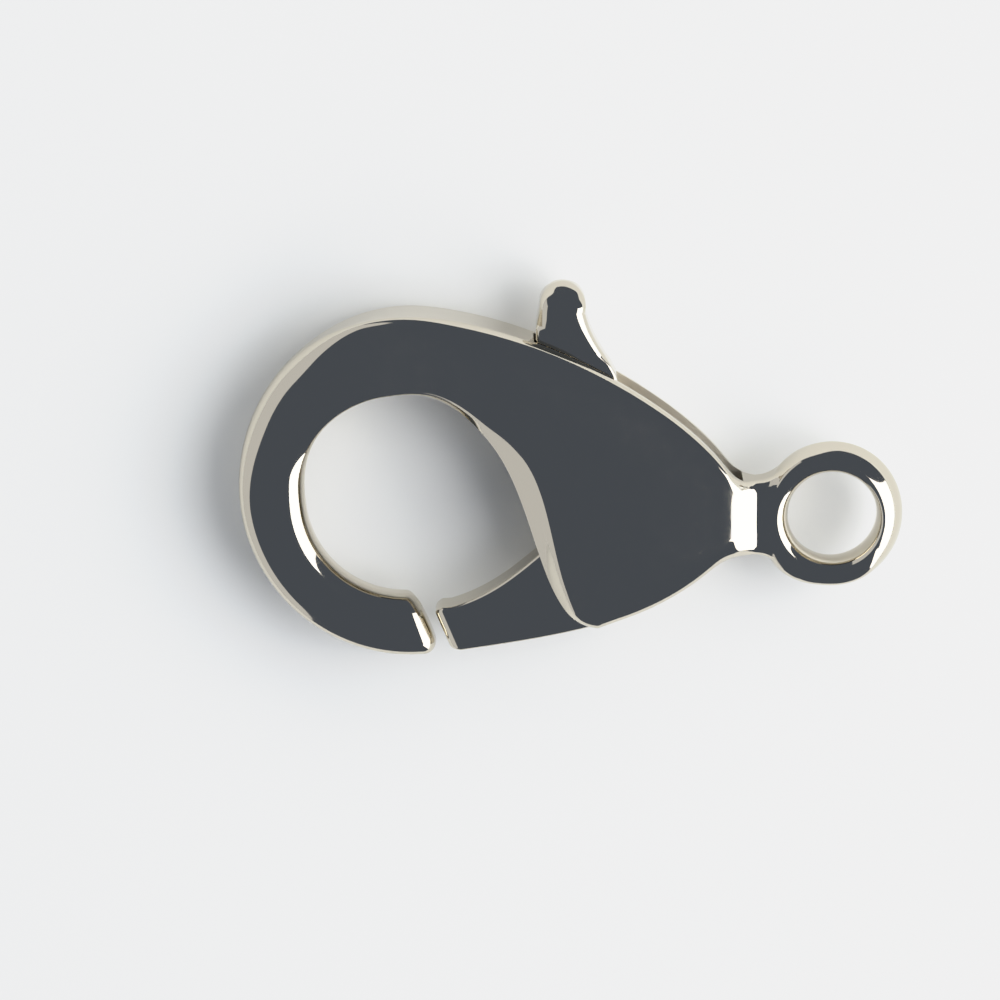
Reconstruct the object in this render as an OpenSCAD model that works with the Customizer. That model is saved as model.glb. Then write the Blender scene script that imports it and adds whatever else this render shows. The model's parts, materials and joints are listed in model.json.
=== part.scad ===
// Lobster clasp. The frame is one casting: a round hook, a teardrop body slotted into two
// cheeks, a neck and a ring eye. A lever pivots between the cheeks and closes the hook.
// The origin is the centre of the ring eye, at half thickness. +X runs away from the hook,
// +Y towards the thumb tab, +Z out of the front face. All sizes are in millimetres.

/* [Hook] */
// Width of the round space inside the hook
hook_bore_d = 6.95; // [6.6:0.05:7.3]
// Width of the hook's band opposite the body
hook_band_side = 2.32; // [2.1:0.02:2.6]
// Width of the hook's band above its bore
hook_band_top = 3.1; // [2.8:0.05:3.4]
// Width of the hook's band below its bore
hook_band_low = 2.18; // [1.9:0.02:2.4]
// Thickness of the hook, front to back
hook_t = 1.7; // [1.5:0.05:2]
// Rounding of the hook's outer edges
hook_edge_out = 0.45; // [0.3:0.05:0.6]
// Rounding of the hook's inner edges
hook_edge_in = 0.7; // [0.5:0.05:0.72]

/* [Body] */
// Distance from the ring eye to the middle of the hook's bore
body_l = 14.94; // [14.2:0.1:16]
// Height of the hook's middle above the ring eye
hook_rise = 0.635; // [0.4:0.05:0.9]
// Thickness of the body, front to back
body_t = 3.4; // [3:0.05:3.6]
// How far the faces fall away towards the body's outline
face_drop = 0.55; // [0.4:0.05:0.6]
// Rounding of the body's edges
body_edge = 0.22; // [0.15:0.01:0.3]
// Width of the bevel on the cheeks' mouth edge
bevel_w = 0.72; // [0.5:0.02:0.9]
// Thickness of the web that closes the slot at the bottom
web_t = 0.6; // [0.5:0.05:0.8]

/* [Neck and ring eye] */
// Width of the neck at its waist
neck_w = 2.42; // [2.2:0.02:2.6]
// Thickness of the neck
neck_t = 1.46; // [1.3:0.02:1.5]
// Diameter of the eye's bore
eye_d = 3.1; // [2.9:0.05:3.3]
// Width of the eye's band
eye_band = 0.93; // [0.85:0.01:1.05]
// Thickness of the eye
eye_t = 1.58; // [1.54:0.02:1.8]

/* [Lever] */
// Thickness of the lever inside the slot
lever_t = 1.4; // [1.2:0.05:1.5]
// Play between the lever and each cheek
side_gap = 0.06; // [0.03:0.01:0.1]
// Gap between the hook's tip and the lever's tip
tip_gap = 0.38; // [0.25:0.01:0.5]
// Distance of the pivot from the ring eye, along the body
pivot_back = 7.8; // [7.5:0.05:8.1]
// Distance of the pivot below the ring eye
pivot_drop = 1.3; // [1.1:0.05:1.5]
// Radius of the lever's hub
hub_r = 1.25; // [1.15:0.05:1.35]
// Radius of the thumb tab's round head
tab_r = 0.8; // [0.7:0.02:0.9]
// Thickness of the thumb tab's head
tab_t = 1.9; // [1.7:0.05:2.1]
// Height of the tab's head centre above the ring eye
tab_h = 7.52; // [7.3:0.05:7.8]
// Play between the lever and its stop
stop_gap = 0.08; // [0.05:0.01:0.15]

/* [Pin and spring] */
// Diameter of the pivot pin
pin_d = 1.2; // [1:0.05:1.4]
// Running clearance between the pin and the lever
pin_gap = 0.04; // [0.02:0.01:0.08]
// Depth of the pin's seat in the front cheek
pin_seat = 0.4; // [0.3:0.05:0.45]
// Thickness of the return spring's leaf
spring_t = 0.25; // [0.2:0.01:0.3]
// Width of the return spring's leaf
spring_w = 1.1; // [0.9:0.05:1.15]

/* [Hidden] */

// Steps: round a quarter edge, across a face, round the hook, along the body, down to the
// neck's waist, into the ring eye, and round a full circle
edge_n = 5;
face_n = 7;
hook_n = 24;
body_n = 28;
neck_n = 7;
flare_n = 4;
round_fn = 64;
nickel = [0.72, 0.69, 0.62];
steel = [0.6, 0.61, 0.63];

// Seat clearance of the pin in the cheeks, and how far its end lies under the back face
seat_gap = 0.01;
pin_flush = 0.05;
// Spare length of every cut beyond the metal
over = 1;

bore_c = [-body_l, hook_rise];
bore_r = hook_bore_d / 2;
// The hook's outer ellipse leans towards the body by this much
hook_lean = 0.16;
outer_c = bore_c + [hook_lean, (hook_band_top - hook_band_low) / 2];
outer_rx = bore_r + hook_band_side + hook_lean;
outer_ry = bore_r + (hook_band_top + hook_band_low) / 2;
slot_half = lever_t / 2 + side_gap;
eye_r = eye_d / 2;
eye_out_r = eye_r + eye_band;
pivot = [-pivot_back, -pivot_drop];

// The tab leans from the pivot towards the hook. Its foot is where the thicker head begins
tab_lean = 1.65;
tab_c = [pivot.x - tab_lean, tab_h];
tab_foot = tab_h - tab_r;
stem_x = tab_c.x - tab_r - 0.13;
stop_x = stem_x - stop_gap;
stop_low = 4.7;

// Angles on the hook: its tip outside and inside, where the lower outline leaves it, where the
// upper outline leaves it, and where the mouth leaves its bore
tip_out_a = -79.5;
tip_in_a = -84.5;
low_a = -82;
top_a = -270;
mouth_a = -260;

function unit(v) = v / norm(v);
function mix(a, b, t) = a + (b - a) * t;
function clamp01(t) = max(0, min(1, t));
function smoothstep(t) = let (c = clamp01(t)) c * c * (3 - 2 * c);
function bezier(p, t) =
    pow(1 - t, 3) * p[0] + 3 * pow(1 - t, 2) * t * p[1] + 3 * (1 - t) * t * t * p[2] + pow(t, 3) * p[3];
// A curve from a to b that leaves along da and arrives along db; ka and kb are shares of the chord
function swing(a, da, ka, b, db, kb) =
    let (l = norm(b - a)) [a, a + unit(da) * ka * l, b - unit(db) * kb * l, b];
function on_outer(a) = outer_c + [outer_rx * cos(a), outer_ry * sin(a)];
function on_bore(a) = bore_c + bore_r * [cos(a), sin(a)];

// The teardrop's upper and lower outlines run from the hook to the shoulders, then curve
// outwards into the neck and on into the ring eye
shoulder_top = [-1.56 * eye_out_r, 0.82 * neck_w];
shoulder_low = [-1.74 * eye_out_r, -0.8 * neck_w];
waist_top = [-1.07 * eye_out_r, 0.47 * neck_w];
waist_low = [-1.09 * eye_out_r, -0.53 * neck_w];
shoulder_top_dir = [0.62, -0.79];
shoulder_low_dir = [0.77, 0.64];
upper = swing([outer_c.x, outer_c.y + outer_ry], [1, 0], 0.313, shoulder_top, shoulder_top_dir, 0.243);
lower_start = on_outer(low_a);
lower_start_dir = [-outer_rx * sin(low_a), outer_ry * cos(low_a)];
lower = swing(lower_start, lower_start_dir, 0.449, shoulder_low, shoulder_low_dir, 0.304);
upper_neck = swing(shoulder_top, shoulder_top_dir, 0.5, waist_top, [1, 0.05], 0.4);
lower_neck = swing(shoulder_low, shoulder_low_dir, 0.45, waist_low, [1, 0], 0.4);

flare_top = eye_out_r * [-0.7, 0.6];
flare_low = eye_out_r * [-0.68, -0.7];
upper_flare = swing(waist_top, [1, 0.05], 0.45, flare_top, [0.8, 0.6], 0.3);
lower_flare = swing(waist_low, [1, 0], 0.45, flare_low, [0.7, -0.7], 0.3);

// The mouth: the cheeks' edge from the hook's bore down to the lower outline
corner_t = 0.525;
mouth_end = bezier(lower, corner_t);
mouth = swing(on_bore(mouth_a), [sin(mouth_a), -cos(mouth_a)], 0.539, mouth_end, [0.98, -0.17], 0.301);
// Share of the body's stations that reach the mouth's lower end, and the stretch before it in
// which the mouth's bevel gives way to the lower outline
corner_s = 0.7;
corner_run = 0.12;

// Outline points of station s: 0 to 1 round the hook, 1 to 2 along the body, 2 to 3 down to the
// neck's waist, 3 to 4 into the ring eye
function outer_at(s) =
    s < 1 ? on_outer(mix(tip_out_a, top_a, s)) :
    s < 2 ? bezier(upper, s - 1) :
    s < 3 ? bezier(upper_neck, s - 2) : bezier(upper_flare, s - 3);
function inner_at(s) =
    s < 1 ? on_bore(mix(tip_in_a, mouth_a, s)) :
    s < 1 + corner_s ? bezier(mouth, (s - 1) / corner_s) :
    s < 2 ? bezier(lower, mix(corner_t, 1, (s - 1 - corner_s) / (1 - corner_s))) :
    s < 3 ? bezier(lower_neck, s - 2) : bezier(lower_flare, s - 3);

// Height of the faces: share of body_l from the eye, then share between the neck's or the
// hook's half thickness and the body's
face_rows = [[0.174, 0], [0.19, 0.09], [0.21, 0.34], [0.245, 0.63], [0.3, 0.77], [0.37, 0.89], [0.45, 1],
    [0.74, 1], [0.81, 0.94], [0.9, 0.74], [1, 0.46], [1.1, 0.2], [1.2, 0.04], [1.28, 0]];
function row_slope(i) =
    i == 0 || i == len(face_rows) - 1 ? 0 :
    let (a = face_rows[i - 1], b = face_rows[i], c = face_rows[i + 1],
        m = (b[1] - a[1]) / (b[0] - a[0]), n = (c[1] - b[1]) / (c[0] - b[0]))
    m * n <= 0 ? 0 : 2 * m * n / (m + n);
function row_at(x, i = 0) =
    x <= face_rows[0][0] || x >= face_rows[len(face_rows) - 1][0] ? 0 :
    x > face_rows[i + 1][0] ? row_at(x, i + 1) :
    let (a = face_rows[i], b = face_rows[i + 1], h = b[0] - a[0], t = (x - a[0]) / h)
    a[1] * (1 + 2 * t) * pow(1 - t, 2) + row_slope(i) * h * t * pow(1 - t, 2)
    + b[1] * t * t * (3 - 2 * t) + row_slope(i + 1) * h * t * t * (t - 1);
// A share that rises from 0 at station a to 1 at station b
function rise(s, a, b) = smoothstep((s - a) / (b - a));
// The swell reaches the hook from the body only, not its tip, which comes as near to the eye
function swell(s, x) = row_at(-x / body_l) * rise(s, 0.3, 0.5);
function half_at(s, x) =
    let (low = -x / body_l > 0.6 ? hook_t / 2 : neck_t / 2) mix(low, body_t / 2, swell(s, x));

// How much of a station's inner edge is the mouth's bevel, and how much is the lower outline
corner = 1 + corner_s;
function mouth_share(s) = rise(s, 0.95, 1.15) * (1 - rise(s, corner - corner_run, corner));
function lower_share(s) = rise(s, corner - corner_run, corner + corner_run / 2);
function outer_edge(s) =
    mix(mix(hook_edge_out, body_edge, rise(s, 0.75, 1.25)), 1.5 * body_edge, rise(s, 1.6, 2.6));
function inner_edge(s) = mix(hook_edge_in, 1.2 * body_edge, rise(s, 0.95, 1.25));
// Least depth of the bevel, where the face comes down to the slot
bevel_least = 0.02;

// The face falls away over this share of the half width, next to the outline
fall_share = 0.6;
function fall(v) = pow(max(0, (v - 1 + fall_share) / fall_share), 2);
function face_z(s, p, v) =
    half_at(s, p.x) - face_drop * swell(s, p.x) * (fall(1 - 2 * v) + lower_share(s) * fall(2 * v - 1));

// One half of a section, in steps from the outer edge to the inner one: [x, y, z]. inset pulls
// the section in on all sides, for the rounded tip
function half_section(s, p, q, inset) =
    let (dir = unit(q - p), a = p + dir * inset, b = q - dir * inset, w = norm(b - a),
        bevel = mouth_share(s),
        ro = outer_edge(s), ri = mix(inner_edge(s), bevel_w, bevel),
        zo = face_z(s, a, 0) - inset, zi = face_z(s, b, 1) - inset,
        drop_in = mix(inner_edge(s), max(bevel_least, zi - slot_half), bevel))
    concat(
        [for (k = [0 : edge_n]) let (t = 90 * k / edge_n)
            [a.x + dir.x * ro * (1 - cos(t)), a.y + dir.y * ro * (1 - cos(t)), zo - ro * (1 - sin(t))]],
        [for (k = [1 : face_n - 1]) let (u = mix(ro, w - ri, k / face_n), c = a + dir * u)
            [c.x, c.y, face_z(s, c, u / w) - inset]],
        [for (k = [0 : edge_n])
            let (f = k / edge_n, t = 90 * f, c = b - dir * ri * mix(1 - sin(t), 1 - f, bevel))
            [c.x, c.y, zi - drop_in * mix(1 - cos(t), f, bevel)]]);
function loop_of(half) =
    concat(half, [for (k = [len(half) - 1 : -1 : 0]) [half[k].x, half[k].y, -half[k].z]]);

// Stations: the rounded tip, the hook, the body and the neck, which flares into the ring eye
tip_round = 0.32;
tip_steps = 3;
tip_run = tip_round / (outer_rx * PI);
tip_dir = let (d = unit(outer_at(0) - inner_at(0))) [-d.y, d.x];
function station(s, inset = 0) = loop_of(half_section(s, outer_at(s), inner_at(s), inset));
function tip_station(k) =
    let (a = 90 * k / tip_steps) station(tip_run * (1 - sin(a)), tip_round * (1 - cos(a)));
flare_in = 0.12;
stations = concat(
    [for (k = [tip_steps : -1 : 0]) tip_station(k)],
    [for (k = [1 : hook_n]) station(k / hook_n)],
    [for (k = [1 : body_n]) station(1 + k / body_n)],
    [for (k = [1 : neck_n]) station(2 + k / neck_n)],
    [for (k = [1 : flare_n]) station(3 + k / flare_n, k == flare_n ? flare_in : 0)]);

// A closed skin over a list of loops with equal counts
module skin(loops) {
    n = len(loops[0]);
    m = len(loops);
    polyhedron(points = [for (l = loops) each l], faces = concat(
        [[for (k = [0 : n - 1]) k]],
        [for (a = [0 : n : n * (m - 2)], k = [0 : n - 1]) let (j = (k + 1) % n) [a + k, a + n + k, a + j]],
        [for (a = [n : n : n * (m - 1)], k = [0 : n - 1]) let (j = (k + 1) % n) [a - n + j, a + k, a + j]],
        [[for (k = [n - 1 : -1 : 0]) (m - 1) * n + k]]), convexity = 8);
}

// The ring eye's section: a straight bore, a steep flare at its mouths and a round outer side
eye_flare = 0.24;
eye_flare_h = 0.5;
crest_n = 8;
module eye_ring() {
    crest_r = eye_r + eye_flare;
    ro = eye_out_r - crest_r;
    h = eye_t / 2;
    flare = [for (k = [0 : edge_n]) let (t = 90 * k / edge_n)
        [eye_r + eye_flare * (1 - cos(t)), h - eye_flare_h * (1 - sin(t))]];
    crest = [for (k = [1 : crest_n]) let (t = 90 - 90 * k / crest_n)
        [crest_r + ro * cos(t), h - ro * (1 - sin(t))]];
    side = concat(flare, crest);
    rotate_extrude($fn = round_fn)
        polygon(concat(side, [for (k = [len(side) - 1 : -1 : 0]) [side[k].x, -side[k].y]]));
}

// The slot between the cheeks, open at the mouth and along the upper outline. Its left wall is the
// lever's stop, and a web closes it at the bottom
slot_end = -3.15;
// Where the web begins and leaves the lower outline, and how its inside rises to the slot's end
web_start_t = 0.56;
web_end_t = 0.8;
web_n = 4;
floor_end = [[slot_end - 0.6 * neck_w, -0.48 * neck_w], [slot_end - 0.1 * neck_w, 0.2 * neck_w]];
function lower_inset(t, d) =
    let (a = bezier(lower, t), b = bezier(lower, t + 0.01), n = unit(b - a)) a + [-n.y, n.x] * d;
module slot_shape() {
    root = bezier(mouth, 0.1);
    top = outer_c.y + outer_ry + over;
    polygon(concat(
        [[stop_x, top], [stop_x, stop_low], root + [0.2, 0.3], root + [-0.4, -0.4], bore_c],
        [[bore_c.x + bore_r, outer_c.y - outer_ry - over], bezier(lower, web_start_t) - [0, over]],
        [for (k = [0 : web_n]) lower_inset(mix(web_start_t, web_end_t, k / web_n), web_t)],
        floor_end,
        [[slot_end, 0.5 * neck_w], [slot_end, top]]));
}

module frame() {
    color(nickel) difference() {
        union() {
            skin(stations);
            difference() {
                eye_ring();
                cylinder(h = eye_t + over, r = eye_r, center = true, $fn = round_fn);
            }
        }
        linear_extrude(height = 2 * slot_half, center = true) slot_shape();
        translate([pivot.x, pivot.y, -body_t / 2 - over])
            cylinder(h = body_t / 2 + over + slot_half + pin_seat, d = pin_d + 2 * seat_gap, $fn = round_fn);
    }
}

// The lever in plan: the arm follows the lower outline, the stem rises to the thumb tab
arm_share = 0.66;
arm_first_t = 0.075;
arm_low_t = 0.5;
arm_n = 8;
stem_n = 6;
// Where the stem leaves the slot on the right, and where the head begins above it
stem_out = pivot + [0.22, 6.35];
head_t = 0.4;
tip_face = [for (u = [0, arm_share]) mix(outer_at(0), inner_at(0), u) + tip_dir * tip_gap];
arm_top = swing(tip_face[1], [1, 0.2], 0.4, pivot + hub_r * [-1.1, 0.72], [0.78, 0.62], 0.35);
stem_left = swing(pivot + hub_r * [-0.98, 0.95], [-0.4, 1], 0.25, [stem_x, stop_low], [0, 1], 0.4);
stem_right = swing(pivot + hub_r * [1, 0], [0, 1], 0.35, stem_out, [-0.25, 1], 0.3);
tab_right = swing(stem_out, [-0.5, 1], 0.35, tab_c + tab_r * [1, -0.4], [-0.24, 1], 0.4);
function along(p, from, to, n) = [for (k = [0 : n]) bezier(p, mix(from, to, k / n))];
module lever_shape() {
    polygon(concat(
        [tip_face[0]], along(lower, arm_first_t, arm_low_t, arm_n),
        [pivot + hub_r * [-0.1, -0.98], pivot, pivot + hub_r * [0.98, 0.02]],
        along(stem_right, 0, 1, stem_n), along(tab_right, head_t / stem_n, head_t, stem_n),
        [tab_c + [tab_r / 2, 0], tab_c - [tab_r / 2, 0], [stem_x, tab_foot]],
        along(stem_left, 1, 0, stem_n), along(arm_top, 1, 0, arm_n)));
    translate(pivot) circle(r = hub_r, $fn = round_fn);
}

// The tab's head is thicker than the stem, and rounded all over
head_steps = 5;
head_edge = 0.5;
head_mid = tab_c - [0, tab_r / 3];
head_line = concat([[stem_x, tab_foot]], along(tab_right, head_t, 0.85, 3),
    [for (a = [0 : 20 : 180]) tab_c + tab_r * [cos(a), sin(a)]]);
function head_layer(z, inset) =
    [for (p = head_line) let (q = head_mid + (p - head_mid) * (1 - inset / tab_r)) [q.x, q.y, z]];
function head_turn(k, side) =
    let (a = 90 * k / head_steps)
    head_layer(side * (tab_t / 2 - head_edge * (1 - sin(a))), head_edge * (1 - cos(a)));
head_layers = concat(
    [for (k = [head_steps : -1 : 0]) head_turn(k, -1)], [for (k = [0 : head_steps]) head_turn(k, 1)]);

module lever() {
    color(nickel) difference() {
        union() {
            linear_extrude(height = lever_t, center = true) lever_shape();
            skin(head_layers);
        }
        translate([pivot.x, pivot.y, 0])
            cylinder(h = lever_t + over, d = pin_d + 2 * pin_gap, center = true, $fn = round_fn);
    }
}

module pivot_pin() {
    color(steel) translate([pivot.x, pivot.y, -body_t / 2 + pin_flush])
        cylinder(h = body_t / 2 - pin_flush + slot_half + pin_seat - seat_gap, d = pin_d, $fn = round_fn);
}

// The return spring's leaf lies along the web, turns back at the slot's end and presses on the stem
leaf_gap = 0.05;
leaf_bend = 0.36;
leaf_off = leaf_gap + spring_t / 2;
floor_d = unit(floor_end[1] - floor_end[0]);
floor_n = [-floor_d.y, floor_d.x];
leaf_c = floor_end[1] + floor_n * (leaf_off + leaf_bend);
leaf_knee = floor_end[0] + floor_n * leaf_off;
leaf_tip = bezier(stem_right, 0.6) + [leaf_off, 0];
leaf_reach = leaf_tip - leaf_c;
leaf_from_a = atan2(-floor_n.y, -floor_n.x);
leaf_to_a = atan2(leaf_reach.y, leaf_reach.x) - acos(leaf_bend / norm(leaf_reach));
leaf_n = 6;
leaf_path = concat(
    [mix(leaf_knee, lower_inset(web_end_t, web_t + leaf_off), 0.6), leaf_knee],
    [for (k = [0 : leaf_n])
        let (a = mix(leaf_from_a, leaf_to_a, k / leaf_n)) leaf_c + leaf_bend * [cos(a), sin(a)]],
    [leaf_tip]);
leaf_last = len(leaf_path) - 1;
function leaf_side(i, side) =
    let (d = unit(leaf_path[min(leaf_last, i + 1)] - leaf_path[max(0, i - 1)]))
    leaf_path[i] + [-d.y, d.x] * side * spring_t / 2;
module return_spring() {
    color(steel) linear_extrude(height = spring_w, center = true) polygon(concat(
        [for (i = [0 : leaf_last]) leaf_side(i, 1)], [for (i = [leaf_last : -1 : 0]) leaf_side(i, -1)]));
}

frame();
lever();
pivot_pin();
return_spring();
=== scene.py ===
"""Looks of the lobster clasp: its cast frame, lever, pin and spring, and the stage it lies on.

Plan sizes are in millimetres while a piece is worked out, and become metres in mesh_from_loops.
The origin is the centre of the ring eye, +X away from the hook, +Y to the tab, +Z out of the front.
"""

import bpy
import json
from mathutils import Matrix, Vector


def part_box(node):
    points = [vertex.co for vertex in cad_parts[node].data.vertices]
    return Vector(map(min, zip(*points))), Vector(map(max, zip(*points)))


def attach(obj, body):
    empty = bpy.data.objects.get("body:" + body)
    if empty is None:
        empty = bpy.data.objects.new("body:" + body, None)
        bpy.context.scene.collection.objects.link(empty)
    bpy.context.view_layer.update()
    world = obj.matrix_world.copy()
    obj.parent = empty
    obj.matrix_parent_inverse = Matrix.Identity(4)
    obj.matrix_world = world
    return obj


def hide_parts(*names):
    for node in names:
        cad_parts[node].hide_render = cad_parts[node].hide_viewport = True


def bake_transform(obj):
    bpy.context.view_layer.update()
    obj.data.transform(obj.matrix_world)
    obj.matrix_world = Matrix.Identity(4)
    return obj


bl_info = {
    "name": "Lobster clasp",
    "version": (1, 0, 0),
    "blender": (4, 5, 0),
    "location": "3D View > Sidebar > Clasp",
    "description": "Builds the cast frame, lever, pin, spring and stage of a lobster clasp",
    "category": "Add Mesh",
}

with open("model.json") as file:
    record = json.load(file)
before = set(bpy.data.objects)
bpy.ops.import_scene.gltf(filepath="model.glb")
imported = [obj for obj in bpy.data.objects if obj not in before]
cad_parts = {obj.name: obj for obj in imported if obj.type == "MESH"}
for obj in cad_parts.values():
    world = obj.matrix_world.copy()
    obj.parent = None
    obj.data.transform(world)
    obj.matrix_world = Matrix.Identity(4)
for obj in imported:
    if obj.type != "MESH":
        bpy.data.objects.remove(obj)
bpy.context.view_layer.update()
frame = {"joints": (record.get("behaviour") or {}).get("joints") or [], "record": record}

import json
import math

import bmesh
import bpy
import numpy as np
from bpy.props import FloatProperty, PointerProperty, StringProperty
from mathutils import Vector

MM = 0.001
MOUNTS = {m["name"]: m for m in frame["record"]["mounts"]}
HINGE = frame["joints"][0]
CARD_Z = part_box("frame")[0].z
HOOK_R = MOUNTS["hook_seat"]["dims"]["r_mm"]
EYE_R = MOUNTS["ring_eye"]["dims"]["r_mm"]
# from the ring eye to the far side of the hook's bore
HOOK_REACH = -MOUNTS["hook_seat"]["pos_m"][0] / MM - HOOK_R


# Plan curves


def unit(v):
    v = np.asarray(v, float)
    return v / np.linalg.norm(v)


def mix(a, b, t):
    return a + (b - a) * t


def rise(s, a, b):
    """0 up to a, 1 from b, smooth between."""
    t = np.clip((np.asarray(s, float) - a) / (b - a), 0, 1)
    return t * t * (3 - 2 * t)


def steps(n):
    """n equal steps from 0 to 1, with the 0 left out."""
    return np.linspace(0, 1, n + 1)[1:]


def bezier(p, t):
    t = np.asarray(t, float)[..., None]
    return (1 - t) ** 3 * p[0] + 3 * (1 - t) ** 2 * t * p[1] + 3 * (1 - t) * t**2 * p[2] + t**3 * p[3]


def swing(a, leaving, ka, b, arriving, kb):
    """A curve from a to b. ka and kb are its handles, as shares of the straight distance."""
    a, b = np.asarray(a, float), np.asarray(b, float)
    span = np.linalg.norm(b - a)
    return np.array([a, a + unit(leaving) * ka * span, b - unit(arriving) * kb * span, b])


def turned(angle):
    a = np.radians(angle)
    return np.stack([np.cos(a), np.sin(a)], -1)


def circle(n, r, centre=(0, 0)):
    return centre + r * turned(np.linspace(0, 360, n, endpoint=False))


class ClaspPlan:
    """The clasp's plan curves, worked out from the sizes.

    The casting is followed from the hook's tip to the ring eye by its station: 0 at the tip, 1 where
    the mouth leaves the bore, 2 at the body's shoulders, 3 at the neck's waist, 4 inside the ring.
    """

    # degrees round the hook: the tip's two corners, where the lower edge leaves the outer ellipse,
    # the ellipse's top, and where the mouth leaves the bore
    TIP_OUT, TIP_IN, LOW, TOP, MOUTH = -79.5, -84.5, -82.0, -270.0, -260.0
    # the mouth's lower corner: its place on the lower edge, its station, and the stations before it
    # in which the mouth's bevel runs out
    CORNER_T, CORNER, CORNER_RUN = 0.515, 1.7, 0.12
    # x as a share of the ring's radius and y of the neck's width
    SHOULDER_TOP, SHOULDER_LOW = (-1.56, 0.82), (-1.74, -0.8)
    WAIST_TOP, WAIST_LOW = (-1.07, 0.53), (-1.09, -0.57)
    # where the neck's flares end, as shares of the ring's radius
    FLARE_TOP, FLARE_LOW = (-0.585, 0.8), (-0.585, -0.85)
    # directions of the edges at these places
    SHOULDER_TOP_DIR, SHOULDER_LOW_DIR = (0.62, -0.79), (0.77, 0.64)
    WAIST_TOP_DIR, WAIST_LOW_DIR = (1, 0.05), (1, 0)
    FLARE_TOP_DIR, FLARE_LOW_DIR = (0.78, 0.62), (0.78, -0.62)
    # width of the ring's rounding where its face stays level, how much the ring is taller than wide
    # on each side, and how much fuller below the neck
    RING_EDGE, RING_TALLER, RING_FULLER = 0.27, 0.1, 0.2
    # the stem's outer corner from the pivot, and the stem's width past the tab's on the hook's side
    STEM_CORNER, STEM_WIDER = (0.22, 6.35), 0.13

    def __init__(self, sizes):
        lengths = [p.identifier for p in sizes.bl_rna.properties if p.unit == "LENGTH"]
        self.g = g = {name: getattr(sizes, name) / MM for name in lengths}
        self.fall_share = sizes.fall_share
        self.bevel_slope, self.bevel_slope_top = sizes.bevel_slope, sizes.bevel_slope_top
        top, low = g["hook_band_top"], g["hook_band_low"]
        self.bore_c = np.array([-HOOK_REACH, g["hook_rise"]])
        self.outer_c = self.bore_c + [g["hook_lean"], (top - low) / 2]
        self.outer_r = HOOK_R + np.array([g["hook_band_side"] + g["hook_lean"], (top + low) / 2])
        self.eye_out = EYE_R + g["eye_band"]
        self.pivot = np.array(HINGE["pos_m"][:2]) / MM
        self.slot_half = g["lever_t"] / 2 + g["side_gap"]
        self.tab_c = np.array([self.pivot[0] - g["tab_lean"], g["tab_h"]])
        self.stem_x = self.tab_c[0] - g["tab_r"] - self.STEM_WIDER

        at_neck = np.array([self.eye_out, g["neck_w"]])
        shoulder_top, shoulder_low = self.SHOULDER_TOP * at_neck, self.SHOULDER_LOW * at_neck
        waist_top, waist_low = self.WAIST_TOP * at_neck, self.WAIST_LOW * at_neck
        flare_top, flare_low = np.array([self.FLARE_TOP, self.FLARE_LOW]) * self.eye_out
        ellipse_top, leaving = self.outer_c + [0, self.outer_r[1]], self.on_outer(self.LOW)
        tangent = self.on_outer(self.LOW + 0.1) - leaving
        self.upper = swing(ellipse_top, [1, 0], 0.313, shoulder_top, self.SHOULDER_TOP_DIR, 0.243)
        self.lower = swing(leaving, tangent, 0.449, shoulder_low, self.SHOULDER_LOW_DIR, 0.304)
        self.upper_neck = swing(shoulder_top, self.SHOULDER_TOP_DIR, 0.5, waist_top, self.WAIST_TOP_DIR, 0.4)
        self.lower_neck = swing(shoulder_low, self.SHOULDER_LOW_DIR, 0.45, waist_low, self.WAIST_LOW_DIR, 0.4)
        self.upper_flare = swing(waist_top, self.WAIST_TOP_DIR, 0.4, flare_top, self.FLARE_TOP_DIR, 0.45)
        self.lower_flare = swing(waist_low, self.WAIST_LOW_DIR, 0.4, flare_low, self.FLARE_LOW_DIR, 0.45)
        mouth_top, corner = self.on_bore(self.MOUTH), bezier(self.lower, self.CORNER_T)
        self.mouth = swing(mouth_top, turned(self.MOUTH - 90), 0.539, corner, [0.98, -0.17], 0.29)
        stem_foot, self.stem_corner = self.pivot + [g["hub_r"], 0], self.pivot + self.STEM_CORNER
        self.stem_right = swing(stem_foot, [0, 1], 0.35, self.stem_corner, [-0.25, 1], 0.3)

    def on_outer(self, angle):
        return self.outer_c + self.outer_r * turned(angle)

    def on_bore(self, angle):
        return self.bore_c + HOOK_R * turned(angle)

    def outer_at(self, s):
        if s < 1:
            return self.on_outer(mix(self.TIP_OUT, self.TOP, s))
        if s < 2:
            return bezier(self.upper, s - 1)
        return bezier(self.upper_neck, s - 2) if s < 3 else bezier(self.upper_flare, s - 3)

    def inner_at(self, s):
        if s < 1:
            return self.on_bore(mix(self.TIP_IN, self.MOUTH, s))
        if s < self.CORNER:
            return bezier(self.mouth, (s - 1) / (self.CORNER - 1))
        if s < 2:
            return bezier(self.lower, mix(self.CORNER_T, 1, (s - self.CORNER) / (2 - self.CORNER)))
        return bezier(self.lower_neck, s - 2) if s < 3 else bezier(self.lower_flare, s - 3)

    def inside_lower(self, t, depth):
        """A point at that depth inside the body's lower edge."""
        point = bezier(self.lower, t)
        x, y = unit(bezier(self.lower, t + 0.01) - point)
        return point + np.array([-y, x]) * depth

    def ring_crest(self, angle):
        """Radius where the bore's flare ends: the flare is widest below the neck."""
        return EYE_R + self.g["eye_flare"] * (1 + 1.5 * np.cos(angle / 2 - math.radians(108)) ** 2)

    def ring_shoulder(self, angle):
        """Radius where the ring's outer side starts to fall: far out at the neck, where the faces are
        level, and at the bottom; right at the flare elsewhere."""
        far = np.maximum(rise(-np.cos(angle), -0.1, 0.55), rise(-np.sin(angle), 0.55, 0.95))
        return mix(self.ring_crest(angle), self.ring_out(angle) - self.RING_EDGE, far)

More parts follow.
